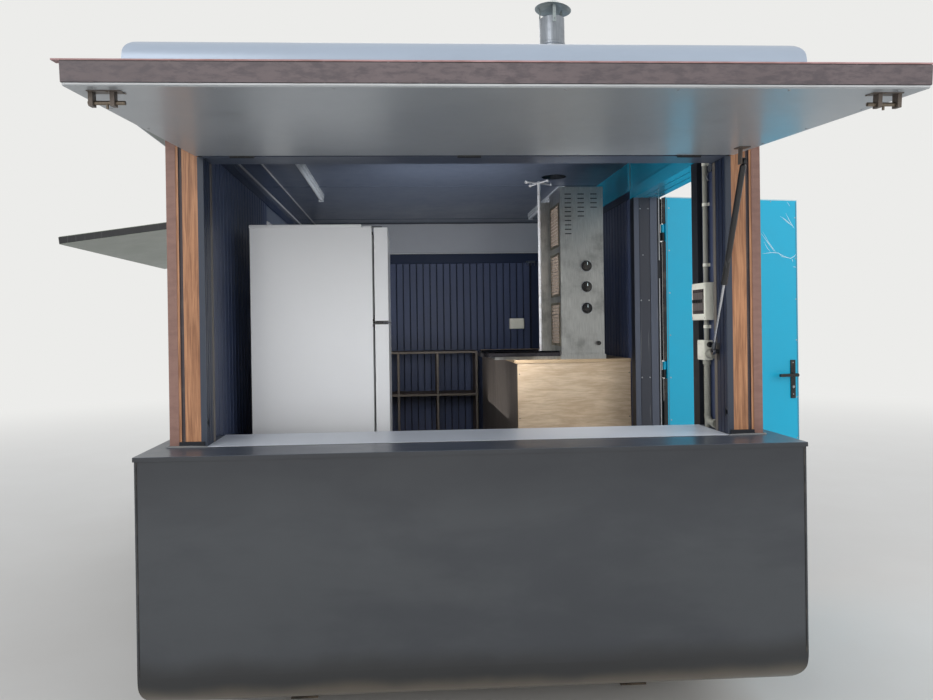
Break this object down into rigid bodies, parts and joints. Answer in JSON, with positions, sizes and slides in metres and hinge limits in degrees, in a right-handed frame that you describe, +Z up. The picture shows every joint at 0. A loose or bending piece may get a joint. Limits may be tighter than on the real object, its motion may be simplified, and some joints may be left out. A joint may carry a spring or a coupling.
{
  "type": "street kiosk",
  "caption": "Small street food kiosk on short legs, with a rounded skirt, a counter, two top hung serving flaps, a side door and a capped roof with a flue.",
  "frame": {"origin": "on the ground under the middle of the floor frame, at the foot of the middle leg", "axes": "+X to the right seen from the serving front, +Y from the front to the rear, +Z up"},
  "size_m": [4.1925, 5.0769, 3.5541],
  "materials": {
    "charcoal_sheet": "semi gloss charcoal paint",
    "counter_sheet": "gloss dark grey paint",
    "black_steel": "black painted steel",
    "wall_board": "dark grooved boards on a framed wall",
    "deck": "worn deck board",
    "wood_cladding": "orange brown wood look siding",
    "maroon_trim": "maroon painted corner trim",
    "blue_grey_trim": "blue grey edge trim",
    "teal_sheet": "teal coated sheet",
    "door_skin": "teal coated aluminium sheet over a light core",
    "roof_sheet": "blue grey metallic sheet",
    "ceiling_panel": "dark grey satin panel",
    "band_panel": "light grey satin sheet",
    "lamp_plastic": "white tube lamp",
    "flue_metal": "weathered galvanised sheet",
    "box_plastic": "pale grey plastic",
    "conduit_plastic": "grey plastic conduit",
    "flap_sheet": "grey satin sheet",
    "rusty_steel": "rusty brown steel angle",
    "strut_black": "black gas cylinder",
    "bright_steel": "bright steel rod",
    "black_plastic": "black handle and knob plastic",
    "plywood": "pale plywood",
    "brown_board": "brown shelf board",
    "stainless": "brushed stainless sheet",
    "white_enamel": "white enamelled housing"
  },
  "bodies": {
    "kiosk": {"base_frame": "black_steel", "legs": "black_steel", "floor_deck": "deck", "front_skirt": "charcoal_sheet", "left_skirt": "charcoal_sheet", "right_skirt": "charcoal_sheet", "rear_skirt": "charcoal_sheet", "counter_top": "counter_sheet", "side_ledges": "counter_sheet", "corner_posts": "black_steel", "post_cladding": "wood_cladding", "corner_trims": "maroon_trim", "opening_trims": "blue_grey_trim", "left_walls": "wall_board", "right_walls": "wall_board", "rear_wall": "wall_board", "sill_walls": "wall_board", "lintels": "wall_board", "door_head": "teal_sheet", "door_jambs": "black_steel", "roof_frame": "black_steel", "soffit": "roof_sheet", "roof_shell": "roof_sheet", "ceiling": "ceiling_panel", "upper_bands": "band_panel", "teal_band": "teal_sheet", "ceiling_lamps": "lamp_plastic", "flue_pipe": "flue_metal", "flue_cap": "flue_metal", "electric_boxes": "box_plastic", "conduit": "conduit_plastic", "strut_brackets": "black_steel", "hinge_pins": "black_steel", "plywood_cabinet": "plywood", "rear_shelves": "brown_board", "grill_column": "stainless", "grill_knobs": "black_plastic", "fridge_cabinet": "white_enamel"},
    "front_flap": {"front_flap_frame": "black_steel", "front_flap_sheets": "flap_sheet", "front_flap_fascia": "rusty_steel", "front_flap_fittings": "black_steel"},
    "front_strut_rod": {"front_strut_rod": "bright_steel"},
    "front_strut_cylinder": {"front_strut_cylinder": "strut_black"},
    "left_bolt": {"left_bolt": "bright_steel"},
    "right_bolt": {"right_bolt": "bright_steel"},
    "left_flap": {"left_flap_frame": "black_steel", "left_flap_sheets": "flap_sheet"},
    "left_strut_rod": {"left_strut_rod": "bright_steel"},
    "left_strut_cylinder": {"left_strut_cylinder": "strut_black"},
    "door": {"door_leaf": "door_skin", "door_plates": "black_plastic"},
    "door_lever": {"door_lever": "black_plastic"},
    "grill_spit": {"grill_spit": "bright_steel"},
    "fridge_upper_door": {"fridge_upper_door": "white_enamel"},
    "fridge_lower_door": {"fridge_lower_door": "white_enamel"}
  },
  "joints": [
    {"name": "front_flap_hinge", "type": "hinge", "parent": "kiosk", "child": "front_flap", "pos_m": [0, -1.912, 2.178], "axis": [1, 0, 0], "range_deg": [0, 85.3]},
    {"name": "front_strut_pivot", "type": "hinge", "parent": "kiosk", "child": "front_strut_rod", "pos_m": [0.98, -1.82, 1.413], "axis": [-1, 0, 0], "range_deg": [0, 17.52]},
    {"name": "front_strut_slide", "type": "slide", "parent": "front_strut_rod", "child": "front_strut_cylinder", "axis": [0, 0.3716, -0.9284], "range_m": [0, 0.18076]},
    {"name": "left_bolt_slide", "type": "slide", "parent": "front_flap", "child": "left_bolt", "axis": [-1, 0, 0], "range_m": [0, 0.022]},
    {"name": "right_bolt_slide", "type": "slide", "parent": "front_flap", "child": "right_bolt", "axis": [1, 0, 0], "range_m": [0, 0.022]},
    {"name": "left_flap_hinge", "type": "hinge", "parent": "kiosk", "child": "left_flap", "pos_m": [-1.15, 0.35, 2.15], "axis": [0, -1, 0], "range_deg": [0, 82.5]},
    {"name": "left_strut_pivot", "type": "hinge", "parent": "kiosk", "child": "left_strut_rod", "pos_m": [-1.058, 1.176, 1.385], "axis": [0, 1, 0], "range_deg": [0, 17.54]},
    {"name": "left_strut_slide", "type": "slide", "parent": "left_strut_rod", "child": "left_strut_cylinder", "axis": [0.3719, 0, -0.9283], "range_m": [0, 0.17103]},
    {"name": "door_hinge", "type": "hinge", "parent": "kiosk", "child": "door", "pos_m": [1.182, -0.718, 1.27], "axis": [0, 0, -1], "range_deg": [0, 99]},
    {"name": "lever_turn", "type": "hinge", "parent": "door", "child": "door_lever", "pos_m": [1.97413, -0.59254, 1.22], "axis": [0.1564, -0.9877, 0], "range_deg": [0, 40], "stiffness_Nm_per_rad": 0.6, "springref_deg": -20.05},
    {"name": "spit_spin", "type": "hinge", "parent": "kiosk", "child": "grill_spit", "pos_m": [0.55, -0.42, 1.5], "axis": [0, 0, 1], "continuous": true},
    {"name": "fridge_upper_hinge", "type": "hinge", "parent": "kiosk", "child": "fridge_upper_door", "pos_m": [-0.366, -1.336, 1.75], "axis": [0, 0, -1], "range_deg": [0, 95]},
    {"name": "fridge_lower_hinge", "type": "hinge", "parent": "kiosk", "child": "fridge_lower_door", "pos_m": [-0.366, -1.336, 1], "axis": [0, 0, -1], "range_deg": [0, 95]}
  ],
  "couplings": [
    {"joint": "front_strut_pivot", "follows": "front_flap_hinge", "ratio": 0.20534},
    {"joint": "front_strut_slide", "follows": "front_flap_hinge", "m_per_rad": 0.1214},
    {"joint": "left_strut_pivot", "follows": "left_flap_hinge", "ratio": 0.21255},
    {"joint": "left_strut_slide", "follows": "left_flap_hinge", "m_per_rad": 0.11877}
  ]
}
